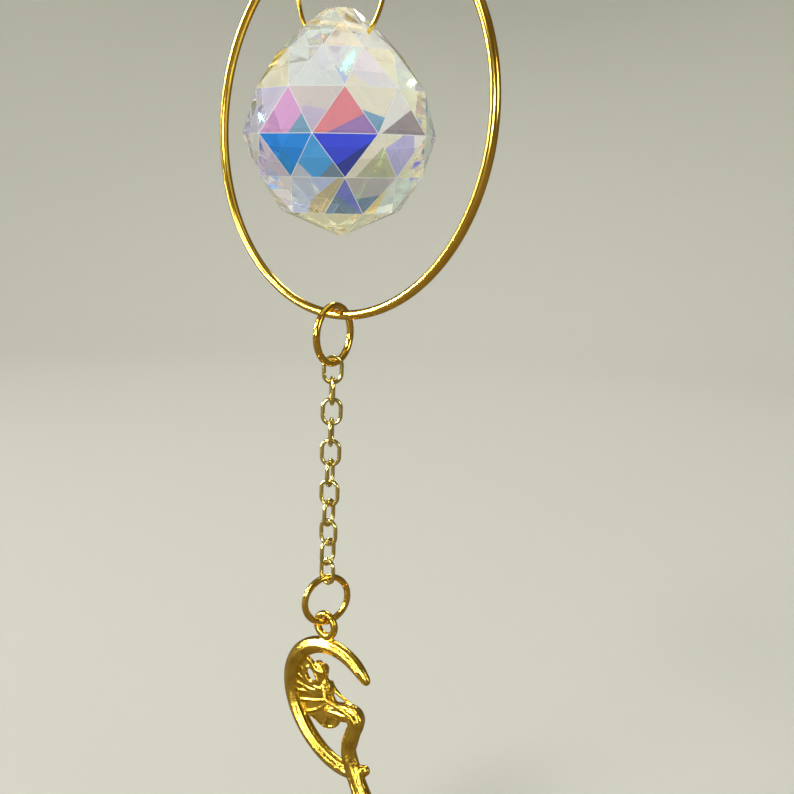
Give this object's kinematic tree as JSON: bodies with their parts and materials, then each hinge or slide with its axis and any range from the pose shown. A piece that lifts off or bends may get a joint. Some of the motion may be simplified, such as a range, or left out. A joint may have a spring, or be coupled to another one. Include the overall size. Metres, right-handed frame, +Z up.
{
  "type": "crystal suncatcher",
  "caption": "Hanging ornament: a clear faceted crystal ball in a thin gold wire hoop, with a fine chain and a moon charm with a seated fairy below.",
  "frame": {"origin": "inner top of the hanging ring, where a hook bears", "axes": "+Z up, the hoop lies in a plane parallel to XZ, and the casting's modelled front faces -Y"},
  "size_m": [0.06, 0.0298, 0.1815],
  "materials": {
    "gold_wire": "bright gold plate on drawn wire",
    "gold_chain": "pale gold plate",
    "gold_cast": "polished gold plate on a casting",
    "crystal": "clear cut glass with an iridescent coat"
  },
  "bodies": {
    "root": {"hang_ring": "gold_chain", "top_link_1": "gold_chain", "top_link_2": "gold_chain", "top_link_3": "gold_chain", "top_link_4": "gold_chain", "top_link_5": "gold_chain", "top_link_6": "gold_chain", "top_jump_ring": "gold_chain", "crystal_ring": "gold_wire", "crystal": "crystal", "hoop": "gold_wire", "lower_jump_ring": "gold_chain", "lower_link_1": "gold_chain", "lower_link_2": "gold_chain", "lower_link_3": "gold_chain", "lower_link_4": "gold_chain", "lower_link_5": "gold_chain", "lower_link_6": "gold_chain", "lower_link_7": "gold_chain", "lower_link_8": "gold_chain", "lower_link_9": "gold_chain", "lower_link_10": "gold_chain", "lower_link_11": "gold_chain", "charm_ring": "gold_chain", "moon_charm": "gold_cast"}
  },
  "joints": []
}
